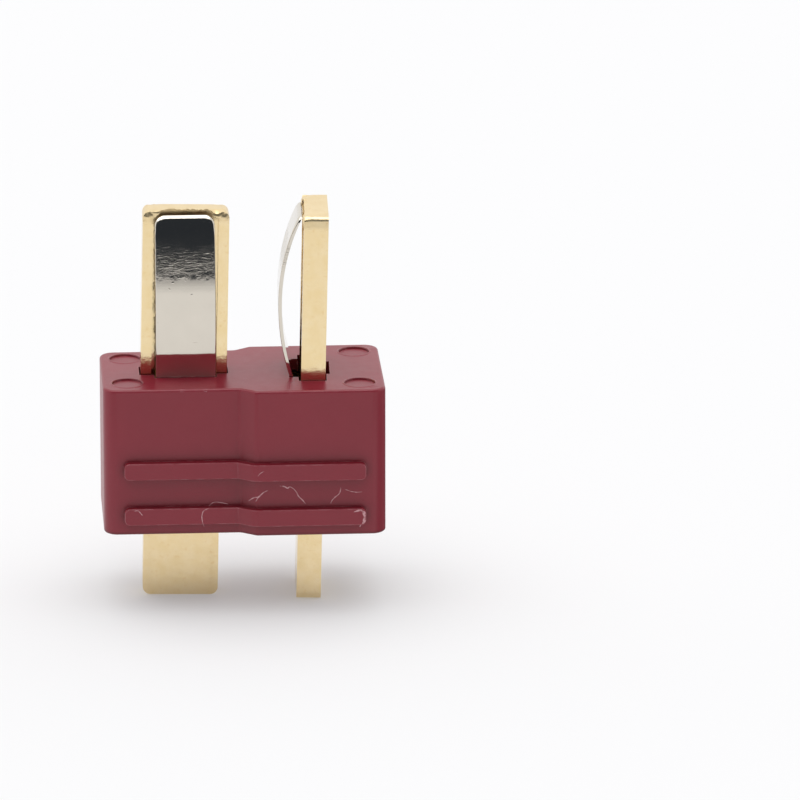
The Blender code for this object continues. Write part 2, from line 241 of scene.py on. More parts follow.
class StudioSettings(bpy.types.PropertyGroup):
    """The floor, the light and the camera's distance."""

    floor_colour: colour("Floor", "#F4F4F5", "Colour of the floor")
    floor_glow: number("Floor glow", 0.26, "Share of the floor's light that comes from beneath", 1)
    key_strength: number("Key light", 1.55, "Strength of the wide light overhead", 100)
    room_strength: number("Room light", 1.0, "Strength of the white around the object", 100)
    distance: length("Distance", 513.5, "Camera's distance from what it looks at")
    flag_distance: length("Flag distance", 1300.0, "From the object to the dark flag before it")
    flag_height: length("Flag height", 1700.0, "Height of the dark flag")
    flag_colour: colour("Flag", "#2E333A", "Colour of the dark flag")


def housing_settings():
    return bpy.context.scene.plug_housing


def contact_settings():
    return bpy.context.scene.plug_contacts


def spring_settings():
    return bpy.context.scene.plug_springs


def studio_settings():
    return bpy.context.scene.plug_studio


def add_node(tree, kind, inputs=None, **settings):
    """Adds a node, with its settings and with a value or a link for each input named.

    A node given for an input stands for the first output that it has in use.
    """
    made = tree.nodes.new("ShaderNode" + kind)
    for key, value in settings.items():
        setattr(made, key, value)
    for key, value in (inputs or {}).items():
        if isinstance(value, bpy.types.Node):
            value = next(output for output in value.outputs if output.enabled)
        if isinstance(value, bpy.types.NodeSocket):
            tree.links.new(value, made.inputs[key])
        else:
            made.inputs[key].default_value = value
    return made


def new_finish(name, values):
    """A finish with its shader's own values: the material, its tree, shader and place on it."""
    material = bpy.data.materials.new(name)
    material.use_nodes = True
    tree = material.node_tree
    shader = tree.nodes["Principled BSDF"]
    for key, value in values.items():
        shader.inputs[key].default_value = value
    place = add_node(tree, "TexCoord").outputs["Object"]
    return material, tree, shader, place


def per_metre(size_mm):
    """The scale of a noise pattern whose features are this many millimetres across."""
    return 1 / (size_mm * MM)


def clamp(value, low=0.0, high=1.0):
    """The value, or the nearer of two limits that it lies outside."""
    return min(max(value, low), high)


def round_corners(corners):
    """A closed outline through corners given as (x, y, radius)."""
    points = []
    for i, (x, y, radius) in enumerate(corners):
        corner = Vector((x, y))
        before = (Vector(corners[i - 1][:2]) - corner).normalized()
        after = (Vector(corners[(i + 1) % len(corners)][:2]) - corner).normalized()
        turn = math.pi - before.angle(after)
        if radius < WELD or turn < STRAIGHT:
            points.append(corner)
            continue
        centre = corner + (before + after).normalized() * radius / math.cos(turn / 2)
        start = corner + before * radius * math.tan(turn / 2) - centre
        side = 1 if before.cross(after) < 0 else -1
        steps = max(3, round(turn / ARC_STEP))
        turns = [Matrix.Rotation(side * turn * n / steps, 2) for n in range(steps + 1)]
        points += [centre + rotation @ start for rotation in turns]
    return points


def rounded_box(width, low, high, radius=0.0):
    """A rectangle centred on the upright axis, with corners of one radius."""
    half = width / 2
    sides = [(-half, low), (half, low), (half, high), (-half, high)]
    return round_corners([(x, y, radius) for x, y in sides])


def slab(name, outline, low, high, plane="XY", place=None):
    """A solid of a flat outline, from low to high across its plane, as an object."""
    shape = bmesh.new()
    bottom = shape.faces.new([shape.verts.new((p[0], p[1], low)) for p in outline])
    raised = bmesh.ops.extrude_face_region(shape, geom=[bottom])["geom"]
    moved = [item for item in raised if isinstance(item, bmesh.types.BMVert)]
    bmesh.ops.translate(shape, verts=moved, vec=(0, 0, high - low))
    bmesh.ops.recalc_face_normals(shape, faces=shape.faces)
    return new_object(name, shape, (place or Matrix.Identity(4)) @ PLANES[plane])


def new_object(name, shape, place=None):
    """An object made of a shape's mesh, with its place put into the mesh."""
    mesh = bpy.data.meshes.new(name)
    shape.to_mesh(mesh)
    shape.free()
    if place is not None:
        mesh.transform(place)
    return add_object(name, mesh)


def add_object(name, data):
    """An object of this data, in the scene."""
    made = bpy.data.objects.new(name, data)
    bpy.context.scene.collection.objects.link(made)
    return made


def close_rings(shape, rings):
    """Joins rings of points into a closed skin with a flat face at both ends."""
    for ring, following in zip(rings, rings[1:]):
        for corners in zip(ring, ring[1:] + ring[:1], following[1:] + following[:1], following):
            shape.faces.new(corners)
    shape.faces.new(rings[0])
    shape.faces.new(rings[-1])
    bmesh.ops.recalc_face_normals(shape, faces=shape.faces)


def split_faces(shape, point, across):
    """Splits a shape's faces along a plane, and keeps both sides of it."""
    geometry = [*shape.verts, *shape.edges, *shape.faces]
    bmesh.ops.bisect_plane(shape, geom=geometry, plane_co=point, plane_no=across)


def settle(item):
    """Puts an object's modifiers into its mesh."""
    graph = bpy.context.evaluated_depsgraph_get()
    mesh = bpy.data.meshes.new_from_object(item.evaluated_get(graph), depsgraph=graph)
    item.modifiers.clear()
    item.data = mesh


def combine(body, tool, operation="DIFFERENCE"):
    """Cuts a solid with another, joins it on or keeps what both share."""
    step = body.modifiers.new("combine", "BOOLEAN")
    step.operation = operation
    step.solver = "EXACT"
    step.object = tool
    settle(body)
    bpy.data.objects.remove(tool, do_unlink=True)


def round_edges(item, radius, segments=4):
    """Rounds every edge that turns enough."""
    step = item.modifiers.new("round_edges", "BEVEL")
    step.width = radius
    step.segments = segments
    step.limit_method = "ANGLE"
    step.angle_limit = BEVEL_ANGLE
    settle(item)


def finish_surface(item, material):
    """Smooth shading that keeps flat faces flat, and the piece's finish."""
    item.data.materials.clear()
    item.data.materials.append(material)
    item.data.shade_smooth()
    item.data.set_sharp_from_angle(angle=SHARP_ANGLE)
    step = item.modifiers.new("flat_faces", "WEIGHTED_NORMAL")
    step.keep_sharp = True
    settle(item)


def bar_place(side):
    """Where a bar passes the housing's top, leaning and turned as the bar is."""
    c = contact_settings()
    lean = Matrix.Rotation(c.lean, 4, "Y")
    if side == "left":
        return Matrix.Translation((-c.left_x, 0, TOP)) @ lean
    turn = Matrix.Rotation(-math.pi / 2 - c.skew, 4, "Z")
    return Matrix.Translation((c.right_x, 0, TOP)) @ lean @ turn


def housing_outline(lift=0.0):
    """The housing seen from above, moved out by lift."""
    s = housing_settings()
    half = s.width / 2 + lift
    narrow = s.narrow_depth / 2 + lift
    wide = s.wide_depth / 2 + lift
    slope = math.atan2(wide - narrow, s.step_run)
    start = -s.step_left - lift * math.tan(slope / 2)
    front = [
        (-half, -narrow, s.corner_radius + lift),
        (start, -narrow, max(s.step_radius - lift, 0.0)),
        (start + s.step_run, -wide, s.step_radius + lift),
        (half, -wide, s.corner_radius + lift),
    ]
    return round_corners(front + [(x, -y, radius) for x, y, radius in reversed(front)])


def leaf_line(z):
    """How far the leaf's outer face stands out from the blade at height z, and its slope angle."""
    s = spring_settings()
    rise = z - s.crown
    radius = s.lower_radius
    if rise > 0:
        reach = leaf_tip() - s.crown
        drop = s.bow - s.tip_lift
        radius = (reach**2 + drop**2) / (2 * drop)
    return s.bow - radius + math.sqrt(radius**2 - rise**2), math.asin(rise / radius)


def leaf_tip():
    """The height of the leaf's tip, just below the lip of its channel."""
    c = contact_settings()
    return c.blade_length - c.lip_height - spring_settings().tip_gap


def leaf_foot():
    """The height at which the leaf's inner face comes down to the floor of its channel."""
    s = spring_settings()
    inner = s.lower_radius - s.thickness
    reach = s.lower_radius - s.bow - contact_settings().channel_depth + s.foot_gap
    return s.crown - math.sqrt(inner**2 - reach**2)


def leaf_push(side, z):
    """How much further a leaf stands out at height z, where its lower part was bent outward."""
    s = spring_settings()
    push = s.left_push if side == "left" else s.right_push
    # Going down from the crown, which is 0, through the housing's top, which is 1
    fall = max(s.crown - z, 0.0) / s.crown
    furthest = 1.04
    if fall < furthest:
        return push * fall**2
    end = (s.crown - leaf_foot()) / s.crown
    back = (fall - furthest) / (end - furthest)
    return push * furthest**2 * math.cos(math.pi / 2 * back)


def moulded_nylon():
    """Nylon moulded in a spark-eroded tool: deep red, with an even satin grain, rubbed edges partly
    painted as highlights, and painted shade by the ribs and along the base.
    """
    s = housing_settings()
    material, tree, shader, place = new_finish(
        "moulded_nylon", {"Roughness": 0.35, "IOR": 1.53, "Specular IOR Level": 0.47}
    )
    # Flow in the mould clouds the colour very slightly over a few millimetres
    cloud = add_node(tree, "TexNoise", {"Vector": place, "Scale": per_metre(2.5), "Detail": 3.0})
    dark = tuple(c * 0.93 for c in s.body_colour)
    light = tuple(c * 1.07 for c in s.body_colour)
    clouded = add_node(
        tree, "Mix", {"Factor": cloud, "A": (*dark, 1), "B": (*light, 1)}, data_type="RGBA"
    )
    # Rounded edges are painted paler, in patches about 0.5 mm across, partly as rubbing and partly
    # as a painted highlight: an edge is where the softened normal leaves the true one
    soft = add_node(tree, "Bevel", {"Radius": 0.10 * MM}, samples=6)
    true = add_node(tree, "NewGeometry")
    match = add_node(
        tree, "VectorMath", {0: soft, 1: true.outputs["True Normal"]}, operation="DOT_PRODUCT"
    )
    edge = add_node(tree, "MapRange", {"Value": match, "From Min": 0.995, "From Max": 0.92})
    patchy = add_node(tree, "TexNoise", {"Vector": place, "Scale": per_metre(0.5), "Detail": 4.0})
    patches = add_node(
        tree,
        "MapRange",
        {"Value": patchy, "From Min": 0.40, "From Max": 0.66, "To Min": 0.1, "To Max": 0.9},
    )
    rubbed_and_highlit = add_node(tree, "Math", {0: edge, 1: patches}, operation="MULTIPLY")
    pale = tuple(0.4 * c + 0.6 * d for c, d in zip(s.body_colour, s.scuff_colour))
    worn_and_highlit = add_node(
        tree, "Mix", {"Factor": rubbed_and_highlit, "A": clouded, "B": (*pale, 1)}, data_type="RGBA"
    )
    # Painted shade darkens the colour in the corners within 1.6 mm of the ribs, where less of the
    # room's light reaches
    shelter = add_node(tree, "AmbientOcclusion", {"Distance": 1.6 * MM}, samples=8, only_local=True)
    painted_shade = add_node(
        tree,
        "MapRange",
        {"Value": shelter.outputs["AO"], "From Min": 0.97, "From Max": 0.55, "To Max": 0.6},
    )
    # The colour of the painted shade, also used for the line along the base
    shade_colour = tuple(c * k for c, k in zip(s.body_colour, (0.55, 0.50, 0.45)))
    shaded = add_node(
        tree, "Mix", {"Factor": painted_shade, "A": worn_and_highlit, "B": (*shade_colour, 1)}, data_type="RGBA"
    )
    # Painted shade darkens the colour to a line along the base's edge, which faces the floor
    height = add_node(tree, "SeparateXYZ", {"Vector": place})
    base_shade = add_node(
        tree,
        "MapRange",
        {
            "Value": height.outputs["Z"],
            "From Min": BASE + 0.10 * MM,
            "From Max": BASE + 0.23 * MM,
            "To Min": 0.9,
            "To Max": 0.0,
        },
    )
    base_shaded = add_node(
        tree, "Mix", {"Factor": base_shade, "A": shaded, "B": (*shade_colour, 1)}, data_type="RGBA"
    )
    tree.links.new(base_shaded.outputs["Result"], shader.inputs["Base Color"])
    # The spark-eroded grain is about 0.05 mm across, drawn at 0.09 mm so that it shows
    grain = add_node(tree, "TexNoise", {"Vector": place, "Scale": per_metre(0.09), "Detail": 2.0})
    bump = add_node(tree, "Bump", {"Height": grain, "Strength": 0.5, "Distance": 0.012 * MM})
    tree.links.new(bump.outputs["Normal"], shader.inputs["Normal"])
    gloss = add_node(tree, "MapRange", {"Value": patchy, "To Min": 0.30, "To Max": 0.40})
    tree.links.new(gloss.outputs["Result"], shader.inputs["Roughness"])
    return material


def gold_plate():
    """Gold flashed over nickel on rolled brass: pale, smooth, a little uneven, faintly stained."""
    s = contact_settings()
    material, tree, shader, place = new_finish("gold_plate", {"Roughness": 0.15, "Metallic": 1.0})
    # The plating varies between a pale and a deeper yellow, in clouds about 0.7 mm across
    cloud = add_node(tree, "TexNoise", {"Vector": place, "Scale": per_metre(0.7), "Detail": 5.0})
    spots = add_node(tree, "MapRange", {"Value": cloud, "From Min": 0.33, "From Max": 0.67})
    deep = tuple(c * k for c, k in zip(s.gold, (0.96, 0.93, 0.85)))
    tint = add_node(
        tree, "Mix", {"Factor": spots, "A": (*deep, 1), "B": (*s.gold, 1)}, data_type="RGBA"
    )
    # Fingerprints and plating stains leave a few warmer specks, 0.2 mm across
    speck = add_node(tree, "TexNoise", {"Vector": place, "Scale": per_metre(0.22), "Detail": 3.0})
    stained = add_node(
        tree, "MapRange", {"Value": speck, "From Min": 0.60, "From Max": 0.74, "To Max": 0.4}
    )
    warm = tuple(c * k for c, k in zip(s.gold, (0.86, 0.70, 0.52)))
    aged = add_node(tree, "Mix", {"Factor": stained, "A": tint, "B": (*warm, 1)}, data_type="RGBA")
    tree.links.new(aged.outputs["Result"], shader.inputs["Base Color"])
    # Lines left by blanking run across the bar, about 0.12 mm apart
    stretched = add_node(tree, "Mapping", {"Vector": place, "Scale": (0.25, 0.25, 1.0)})
    lines = add_node(
        tree, "TexNoise", {"Vector": stretched, "Scale": per_metre(0.12), "Detail": 3.0}
    )
    # Between them the plating is finely pitted, about 0.1 mm across
    pits = add_node(tree, "TexNoise", {"Vector": place, "Scale": per_metre(0.10), "Detail": 2.0})
    fine = add_node(tree, "Math", {0: lines, 1: pits}, operation="ADD")
    # The plated surface also waves by a few microns over half a millimetre
    wave = add_node(tree, "TexNoise", {"Vector": place, "Scale": per_metre(0.45), "Detail": 1.0})
    relief = add_node(tree, "Math", {0: wave, 1: 3.5, 2: fine}, operation="MULTIPLY_ADD")
    bump = add_node(tree, "Bump", {"Height": relief, "Strength": 0.6, "Distance": 0.005 * MM})
    tree.links.new(bump.outputs["Normal"], shader.inputs["Normal"])
    gloss = add_node(tree, "MapRange", {"Value": cloud, "To Min": 0.10, "To Max": 0.20})
    # The tip is duller, where the punch that stakes the strip struck it
    height = add_node(tree, "SeparateXYZ", {"Vector": place})
    tip = TOP + s.blade_length
    struck = add_node(
        tree,
        "MapRange",
        {
            "Value": height.outputs["Z"],
            "From Min": tip - 0.9 * MM,
            "From Max": tip - 0.5 * MM,
            "To Max": 0.22,
        },
        interpolation_type="SMOOTHSTEP",
    )
    dull = add_node(tree, "Math", {0: gloss, 1: struck}, operation="ADD")
    tree.links.new(dull.outputs["Value"], shader.inputs["Roughness"])
    return material


def nickel_plate():
    """Nickel-plated spring strip: nearly a mirror, dented, scratched where it wipes its mate."""
    s = spring_settings()
    material, tree, shader, place = new_finish("nickel_plate", {"Roughness": 0.08, "Metallic": 1.0})
    # The plating dulls a little in clouds about 1.2 mm across
    cloud = add_node(tree, "TexNoise", {"Vector": place, "Scale": per_metre(1.2), "Detail": 3.0})
    dull = tuple(c * 0.91 for c in s.nickel)
    tint = add_node(
        tree, "Mix", {"Factor": cloud, "A": (*dull, 1), "B": (*s.nickel, 1)}, data_type="RGBA"
    )
    tree.links.new(tint.outputs["Result"], shader.inputs["Base Color"])
    # The rubbed band lies above the crown, up to 4 mm over it, and its ends waver
    height = add_node(tree, "SeparateXYZ", {"Vector": place})
    wave = add_node(tree, "TexNoise", {"Vector": place, "Scale": per_metre(0.8), "Detail": 4.0})
    level = add_node(
        tree, "Math", {0: wave, 1: 1.2 * MM, 2: height.outputs["Z"]}, operation="MULTIPLY_ADD"
    )
    crown = TOP + s.crown + 0.6 * MM
    rise = add_node(
        tree,
        "MapRange",
        {"Value": level, "From Min": crown + 1.5 * MM, "From Max": crown + 2.4 * MM},
        interpolation_type="SMOOTHSTEP",
    )
    fall = add_node(
        tree,
        "MapRange",
        {
            "Value": level,
            "From Min": crown + 2.9 * MM,
            "From Max": crown + 4.2 * MM,
            "To Min": 1.0,
            "To Max": 0.12,
        },
        interpolation_type="SMOOTHSTEP",
    )
    band = add_node(tree, "Math", {0: rise, 1: fall}, operation="MULTIPLY")
    # Rubbing leaves wavy scratches across the strip, about 0.08 mm apart, drawn at 0.17 mm
    # so that they show
    flat = add_node(tree, "Mapping", {"Vector": place, "Scale": (0.3, 0.3, 1.0)})
    scratch = add_node(
        tree,
        "TexNoise",
        {"Vector": flat, "Scale": per_metre(0.17), "Detail": 4.0, "Distortion": 1.6},
    )
    ripple = add_node(tree, "Math", {0: scratch, 1: band}, operation="MULTIPLY")
    deeper = add_node(tree, "Math", {0: ripple, 1: 1.5}, operation="MULTIPLY")
    # Dents about 0.15 mm across lie here and there above the foot: each fills about half a
    # cell of the pattern
    spot = add_node(tree, "TexNoise", {"Vector": place, "Scale": per_metre(0.30), "Detail": 1.0})
    dent = add_node(
        tree,
        "MapRange",
        {"Value": spot, "From Min": 0.70, "From Max": 0.80, "To Max": 0.4},
        interpolation_type="SMOOTHSTEP",
    )
    above = add_node(
        tree, "Math", {0: height.outputs["Z"], 1: TOP + 2.2 * MM}, operation="GREATER_THAN"
    )
    dented = add_node(tree, "Math", {0: dent, 1: above, 2: deeper}, operation="MULTIPLY_ADD")
    # The whole strip also waves gently, over about 0.8 mm
    soft = add_node(tree, "TexNoise", {"Vector": place, "Scale": per_metre(0.8), "Detail": 4.0})
    relief = add_node(tree, "Math", {0: soft, 1: 0.25, 2: dented}, operation="MULTIPLY_ADD")
    bump = add_node(tree, "Bump", {"Height": relief, "Strength": 0.8, "Distance": 0.016 * MM})
    tree.links.new(bump.outputs["Normal"], shader.inputs["Normal"])
    gloss = add_node(tree, "MapRange", {"Value": band, "To Min": 0.07, "To Max": 0.23})
    tree.links.new(gloss.outputs["Result"], shader.inputs["Roughness"])
    return material


def scraped_nylon():
    """Nylon scraped in handling: the torn surface is pale and dull."""
    s = housing_settings()
    material, tree, shader, place = new_finish("scraped_nylon", {"Roughness": 0.6, "IOR": 1.53})
    # The torn skin shows the deeper colour between flecks about 0.15 mm across
    fleck = add_node(tree, "TexNoise", {"Vector": place, "Scale": per_metre(0.15), "Detail": 3.0})
    spread = add_node(tree, "MapRange", {"Value": fleck, "From Min": 0.28, "From Max": 0.5})
    tint = add_node(
        tree,
        "Mix",
        {"Factor": spread, "A": (*s.body_colour, 1), "B": (*s.scuff_colour, 1)},
        data_type="RGBA",
    )
    tree.links.new(tint.outputs["Result"], shader.inputs["Base Color"])
    return material


def build_ribs(housing):
    """Joins each pair of grip ribs on as one band that follows the housing's step."""
    s = housing_settings()
    deepest = s.wide_depth / 2 + s.rib_lift + OVERRUN
    for n in range(2):
        low = BASE + s.lower_rib + n * s.rib_pitch - s.rib_height / 2
        high = low + s.rib_height
        band = slab("rib", housing_outline(s.rib_lift), low, high)
        ends = rounded_box(s.width - 2 * s.rib_inset, low, high, s.rib_end_radius)
        combine(band, slab("rib_ends", ends, -deepest, deepest, "XZ"), "INTERSECT")
        round_edges(band, s.rib_edge_radius)
        combine(housing, band, "UNION")


def press_pin_marks(housing):
    """Sinks the four ejector pin marks into the top."""
    s = housing_settings()
    radius = s.mark_radius
    burr = [(radius + flare * MM, level * MM) for flare, level in BURR]
    # The mark's wall opens out a little towards the top
    wall = [(0.0, -0.05), (0.02, 0.0), (0.05, 0.03)]
    pin = [(radius, -s.mark_depth)]
    pin += [(radius + flare * MM, level * MM) for flare, level in wall]
    pin += [(radius + wall[-1][0] * MM, OVERRUN)]
    for side, depth in ((-1, s.narrow_depth), (1, s.wide_depth)):
        for face in (-1, 1):
            x = side * (s.width / 2 - s.mark_inset)
            y = face * (depth / 2 - s.mark_inset)
            combine(housing, turned("burr", burr, x, y), "UNION")
            combine(housing, turned("pin", pin, x, y))


def turned(name, profile, x, y):
    """A solid turned from its profile, given as radius and height over the housing's top."""
    shape = bmesh.new()
    turns = [math.radians(5 * n) for n in range(72)]
    rings = []
    for radius, level in profile:
        points = [(x + radius * math.cos(a), y + radius * math.sin(a), TOP + level) for a in turns]
        rings.append([shape.verts.new(point) for point in points])
    close_rings(shape, rings)
    return new_object(name, shape)


def open_slots(housing):
    """Opens the slot of each bar, its wider mouth, the leaf's pocket and the relief notch."""
    c = contact_settings()
    leaf = spring_settings()
    face = c.thickness / 2
    gap = 0.08 * MM
    reach = TOP - BASE + OVERRUN
    half_tab = c.tab_width / 2 + gap
    half_blade = c.blade_width / 2 + gap
    ledge = -(SHOULDER + gap)
    right = [(half_tab, -reach), (half_tab, ledge), (half_blade, ledge), (half_blade, OVERRUN)]
    slot = right + [(-x, z) for x, z in reversed(right)]
    mouth_depth, mouth_front, mouth_back = 0.35 * MM, 0.12 * MM, 0.95 * MM
    pocket_spare, pocket_front, below_foot = 0.14 * MM, 0.02 * MM, 0.45 * MM
    notch_width, notch_depth, notch_back = 2.42 * MM, 1.5 * MM, 0.28 * MM
    notch = rounded_box(notch_width, -notch_depth, OVERRUN)
    # How much wider than its blade each mouth is, and how far each pocket lies to the right,
    # as the left strip is turned in its channel
    spares = {"left": 0.14 * MM, "right": 0.15 * MM}
    shifts = {"left": math.tan(leaf.left_skew) * leaf.crown, "right": 0.0}
    for side in ("left", "right"):
        mouth = rounded_box(c.blade_width + spares[side], -mouth_depth, OVERRUN)
        pocket = rounded_box(leaf.width + pocket_spare, leaf_foot() - below_foot, OVERRUN)
        pocket = [(x + shifts[side], z) for x, z in pocket]
        stand = leaf_line(0.0)[0] + leaf_push(side, 0.0)
        cuts = [
            (slot, -face - gap, face + gap),
            (pocket, -face - stand - pocket_front, 0.0),
            (mouth, -face - mouth_front, -face + mouth_back),
            (notch, 0.0, face + notch_back),
        ]
        for outline, front, back in cuts:
            combine(housing, slab("cut", outline, -back, -front, "XZ", bar_place(side)))


def lay_scuffs(housing, material):
    """Lays the scuffs on the housing's front as thin ribbons that follow its surface."""
    tree = BVHTree.FromObject(housing, bpy.context.evaluated_depsgraph_get())
    ahead = Vector((0, 1, 0))
    in_front = -20 * MM
    below_top = 0.02 * MM
    proud = 0.003 * MM
    raggedness, cells_per_metre = 0.9, 6000
    shape = bmesh.new()
    for width, marks in SCUFFS:
        path = smooth_path([Vector((x * MM, z * MM)) for x, z in marks], 0.05 * MM)
        rows = []
        for n, point in enumerate(path):
            along = (path[min(n + 1, len(path) - 1)] - path[max(n - 1, 0)]).normalized()
            across = Vector((-along.y, along.x))
            taper = math.sin(math.pi * (n + 0.6) / (len(path) + 0.2)) ** 0.5
            ragged = 1.0 + raggedness * noise.noise(Vector((*point, 0)) * cells_per_metre)
            half = width * MM * taper * ragged * 0.5
            row = []
            for side in (-1, 1):
                spot = point + across * half * side
                level = min(spot.y, TOP - below_top)
                place, normal = tree.ray_cast(Vector((spot.x, in_front, level)), ahead)[:2]
                row.append(shape.verts.new(place + normal * proud))
            rows.append(row)
        for (a, b), (c, d) in zip(rows, rows[1:]):
            shape.faces.new((a, c, d, b))
    bmesh.ops.recalc_face_normals(shape, faces=shape.faces)
    scuffs = new_object("front_scuffs", shape)
    scuffs.data.materials.append(material)
    scuffs.data.shade_smooth()
    return scuffs


def smooth_path(points, spacing):
    """A smooth line through the points, at this spacing."""
    ends = [2 * points[0] - points[1], *points, 2 * points[-1] - points[-2]]
    line = []
    for p, q, r, s in zip(ends, ends[1:], ends[2:], ends[3:]):
        steps = max(2, round((r - q).length / spacing))
        for n in range(steps):
            t = n / steps
            bend = (2 * p - 5 * q + 4 * r - s) * t**2 + (3 * q - p - 3 * r + s) * t**3
            line.append(0.5 * (2 * q + (r - p) * t + bend))
    return line + [points[-1]]


def bar_outline(side):
    """A contact bar seen on its wide face: blade, shoulders and solder tab."""
    c = contact_settings()
    corner = c.blade_radius if side == "left" else c.right_radius
    half_blade = c.blade_width / 2
    half_tab = c.tab_width / 2
    bottom = BASE - TOP - c.tab_length
    right = [
        (half_tab, bottom, c.tab_radius),
        (half_tab, -SHOULDER, SHOULDER_RADIUS),
        (half_blade, -SHOULDER, SHOULDER_RADIUS),
        (half_blade, c.blade_length, corner),
    ]
    return round_corners(right + [(-x, z, radius) for x, z, radius in reversed(right)])


def bite(x, seed):
    """How raggedly the punch left the lip at x, from about -1 to 1: broad notches and fine ones."""
    broad, fine = 1900, 6500
    notches = noise.noise(Vector((x * broad, seed, 0)))
    return notches + 0.7 * noise.noise(Vector((x * fine, seed, 5)))


def channel_outline():
    """The spring's channel, its top edge left ragged by the punch."""
    c = contact_settings()
    half = c.channel_width / 2
    top = c.blade_length - c.lip_height
    below_foot = 0.75 * MM
    foot = leaf_foot() - below_foot
    seed = 3.1
    steps = 70
    ragged = []
    for n in range(steps + 1):
        x = (half - c.gusset) * (1 - 2 * n / steps)
        ragged.append((x, top + c.lip_height * (0.5 + 0.2 * bite(x, seed))))
    return [(-half, foot), (half, foot), (half, top - c.gusset), *ragged, (-half, top - c.gusset)]


def lip_outline(seed, share):
    """What is bitten off the front of the lip, seen from above, and how much of it."""
    c = contact_settings()
    half = c.channel_width / 2 - 0.8 * c.gusset
    front = -c.thickness / 2
    end_fade = 0.25 * MM
    least = 0.02 * MM
    steps = 90
    ragged = []
    for n in range(steps + 1):
        x = half * (1 - 2 * n / steps)
        fade = min(1.0, (half - abs(x)) / end_fade)
        depth = clamp(0.9 + 0.8 * bite(x, seed), 0.5, 1.2) * share
        ragged.append((x, front + least + fade * c.lip_bite * depth))
    return [(-half, front - OVERRUN), (half, front - OVERRUN), *ragged]


def stake_tip(bar, seed):
    """Moves the metal at the corners of the tip as the staking punch did."""
    c = contact_settings()
    half = c.blade_width / 2
    front = -c.thickness / 2
    shape = bmesh.new()
    shape.from_mesh(bar.data)
    # The tip is split into cells of these sizes first, down from its end and across it
    down_cell, cell = 0.06 * MM, 0.07 * MM
    cuts = [((0, 0, c.blade_length - down_cell * n), (0, 0, 1)) for n in range(1, 21)]
    cuts += [((half - cell * n, 0, 0), (1, 0, 0)) for n in range(1, 70)]
    cuts += [((0, front + cell * n, 0), (0, 1, 0)) for n in range(1, 9)]
    for point, across in cuts:
        split_faces(shape, point, across)
    # How far down and how far in the punch reached, in millimetres, and how far back, in metres
    lowest, corner_in, corner_down, drag_down = 1.3, 0.9, 0.7, 0.5
    skin_depth, drag_depth = 0.55 * MM, 0.38 * MM
    # How deep it left the metal rough, dragged and dented, in millimetres, and the grain of each
    # in cells per metre
    rough_depth, dragged_depth, dented_depth = 0.03, 0.10, 0.05
    rough_grain, fine_grain, lump_grain, dent_grain = 5500, 12000, 2600, 4500
    for vert in shape.verts:
        x, y, z = vert.co
        inward = (half - abs(x)) / MM
        down = (c.blade_length - z) / MM
        if down > lowest:
            continue
        lift = 0.0
        for u, v, wide, tall, high in STAKES[1 if x > 0 else -1]:
            lift += high * math.exp(-(((inward - u) / wide) ** 2 + ((down - v) / tall) ** 2) / 2)
        near = math.exp(-((inward / corner_in) ** 4) - (down / corner_down) ** 4)
        rough = noise.noise(Vector((x, z, seed * MM)) * rough_grain)
        rough += 0.5 * noise.noise(Vector((x, z, 0)) * fine_grain)
        lift += rough_depth * rough * near
        vert.co.y -= lift * clamp((front + skin_depth - y) / skin_depth) * MM
        # The tip's front edge is dragged down a little, more in some places than in others
        drag = clamp((front + drag_depth - y) / drag_depth) ** 2
        lumps = 0.6 + 1.3 * noise.noise(Vector((x, seed * MM, 0)) * lump_grain)
        dents = 0.4 + noise.noise(Vector((x, y, seed * MM)) * dent_grain)
        sink = dragged_depth * drag * max(lumps, 0.0)
        sink += dented_depth * near * max(dents, 0.0)
        vert.co.z -= sink * max(1 - down / drag_down, 0.0) * MM
    shape.to_mesh(bar.data)
    shape.free()


def round_bar(bar):
    """Rounds the bar's edges, more at the tip, where the press rolled them over."""
    c = contact_settings()
    mesh = bar.data
    # The rounding starts to grow this share of a corner's radius below the corner
    early = 0.15
    weights = mesh.attributes.new("bevel_weight_edge", "FLOAT", "EDGE")
    for edge in mesh.edges:
        a, b = (mesh.vertices[v].co for v in edge.vertices)
        along_face = abs(a.y - b.y) < WELD
        tipward = (min(a.z, b.z) - (c.blade_length - c.blade_radius)) / c.blade_radius
        blend = clamp(tipward + early)
        width = c.edge_radius + (c.tip_radius - c.edge_radius) * blend
        weights.data[edge.index].value = width / c.tip_radius if along_face else 0.0
    step = bar.modifiers.new("round_edges", "BEVEL")
    step.width = c.tip_radius
    step.segments = 5
    step.limit_method = "WEIGHT"
    settle(bar)


def build_bar(side, material):
    """One contact bar in fine: rounded, channelled and staked at the tip."""
    c = contact_settings()
    half = c.thickness / 2
    bar = slab(f"{side}_contact_bar", bar_outline(side), -half, half, "XZ")
    round_bar(bar)
    combine(bar, slab("channel", channel_outline(), half - c.channel_depth, half + OVERRUN, "XZ"))
    # The left lip is torn back, and the right one is hardly touched
    seed, share = (3.0, 1.0) if side == "left" else (21.0, 0.06)
    low = c.blade_length - 2 * c.lip_height
    combine(bar, slab("bite", lip_outline(seed, share), low, c.blade_length + OVERRUN))
    stake_tip(bar, seed)
    bar.data.transform(bar_place(side))
    finish_surface(bar, material)
    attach(bar, "plug")
    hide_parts(f"{side}_contact")


